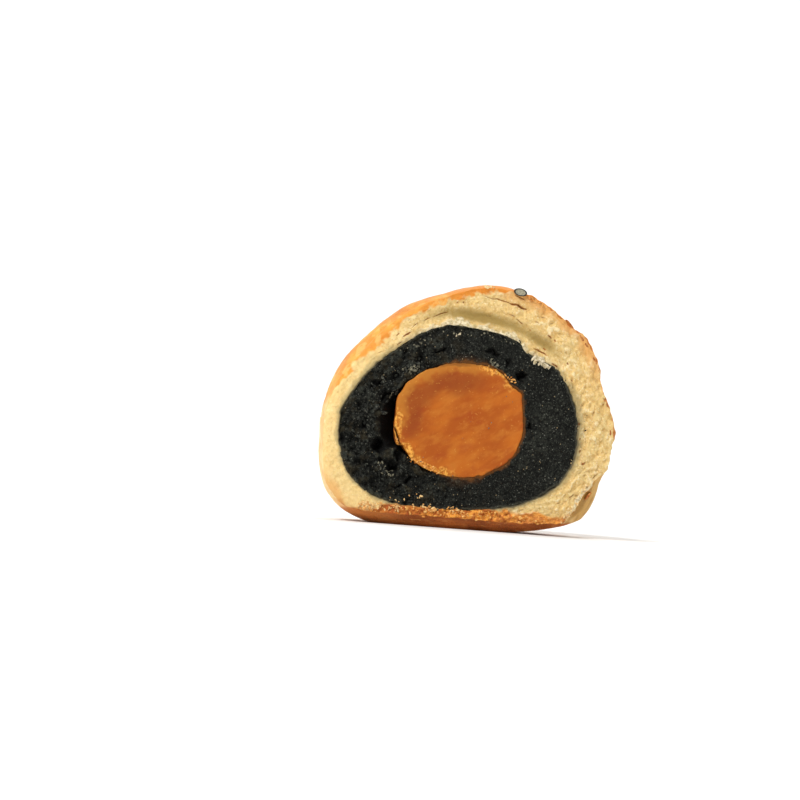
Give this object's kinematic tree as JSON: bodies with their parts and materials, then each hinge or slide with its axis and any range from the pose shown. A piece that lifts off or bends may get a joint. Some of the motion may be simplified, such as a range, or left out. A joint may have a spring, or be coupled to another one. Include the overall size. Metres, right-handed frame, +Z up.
{
  "type": "egg yolk pastry",
  "caption": "Cut half of a baked egg yolk pastry: flaky crust round black sesame paste, with a salted yolk at the centre and sesame seeds on top.",
  "frame": {"origin": "centre of the bounding box's bottom face, on the surface that the half stands on", "axes": "+X along the cut face's width, +Y away from the cut face, into the half, and +Z up"},
  "size_m": [0.0528, 0.0272, 0.044],
  "materials": {
    "crust": "baked dough, satin egg wash outside and dry cream crumb at the cut",
    "sesame_paste": "matt, granular and slightly moist",
    "yolk": "waxy satin, oily and finely grained"
  },
  "bodies": {
    "root": {"crust": "crust", "sesame_paste": "sesame_paste", "yolk": "yolk"}
  },
  "joints": []
}
